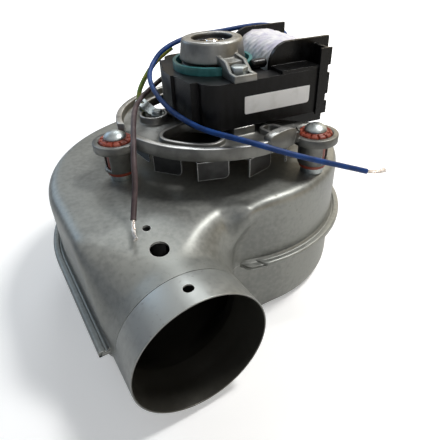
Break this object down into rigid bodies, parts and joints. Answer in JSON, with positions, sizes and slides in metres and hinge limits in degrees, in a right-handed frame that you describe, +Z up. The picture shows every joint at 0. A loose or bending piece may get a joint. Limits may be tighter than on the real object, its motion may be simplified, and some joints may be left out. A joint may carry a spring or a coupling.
{
  "type": "boiler fan",
  "caption": "Sheet steel volute with a round outlet spigot and a radial impeller, driven by a shaded-pole motor on a cast bracket above it.",
  "frame": {"origin": "centre of the inlet on the volute's underside", "axes": "+Z up along the rotor's axis, -Y out of the outlet spigot, +X towards the motor's coil"},
  "size_m": [0.1721, 0.178, 0.1287],
  "materials": {
    "sheet_steel": "satin coated sheet",
    "plated_steel": "bright zinc plating",
    "cast_bracket": "as cast, satin",
    "silicone": "matt",
    "black_lamination": "black varnish",
    "rotor_iron": "turned",
    "rotor_aluminium": "cast",
    "black_bobbin": "moulded, satin",
    "white_tape": "woven tape",
    "copper": "bare copper",
    "teal_plastic": "moulded",
    "bearing_bronze": "sintered",
    "oil_felt": "oiled felt",
    "spring_steel": "dark",
    "shaft_steel": "ground",
    "washer_plastic": "laminate",
    "fan_sheet": "mill finish",
    "hub_brass": "turned",
    "impeller_sheet": "galvanised sheet",
    "blue_insulation": "silicone, satin",
    "brown_insulation": "silicone, satin",
    "earth_insulation": "yellow with green",
    "tinned_strands": "tinned copper"
  },
  "bodies": {
    "housing": {"volute_upper_shell": "sheet_steel", "volute_lower_shell": "sheet_steel", "outlet_spigot": "sheet_steel", "spacer_feet": "plated_steel", "grommet_sleeves": "plated_steel", "mount_screws": "plated_steel", "weld_nuts": "plated_steel", "earth_tab": "plated_steel", "earth_screw": "plated_steel", "motor_screws": "plated_steel", "motor_bracket": "cast_bracket", "top_bearing_bracket": "cast_bracket", "mount_grommets": "silicone", "stator_stack": "black_lamination", "coil_core": "black_lamination", "coil_bobbin": "black_bobbin", "coil_wrap": "white_tape", "coil_winding": "copper", "shading_rings": "copper", "air_gap_ring": "teal_plastic", "upper_bearing": "bearing_bronze", "lower_bearing": "bearing_bronze", "upper_felt": "oil_felt", "lower_felt": "oil_felt", "bearing_clip_upper": "spring_steel", "bearing_clip_lower": "spring_steel", "lead_blue": "blue_insulation", "lead_brown": "brown_insulation", "lead_earth": "earth_insulation", "lead_ends": "tinned_strands"},
    "rotor": {"shaft": "shaft_steel", "rotor_core": "rotor_iron", "rotor_end_rings": "rotor_aluminium", "thrust_washers": "washer_plastic", "cooling_fan": "fan_sheet", "cooling_fan_hub": "hub_brass", "impeller_backplate": "impeller_sheet", "impeller_shroud": "impeller_sheet", "impeller_blades": "impeller_sheet", "impeller_hub": "hub_brass", "impeller_nut": "plated_steel"}
  },
  "joints": [
    {"name": "rotor_spin", "type": "hinge", "parent": "housing", "child": "rotor", "pos_m": [0, 0, 0], "axis": [0, 0, 1], "continuous": true}
  ]
}
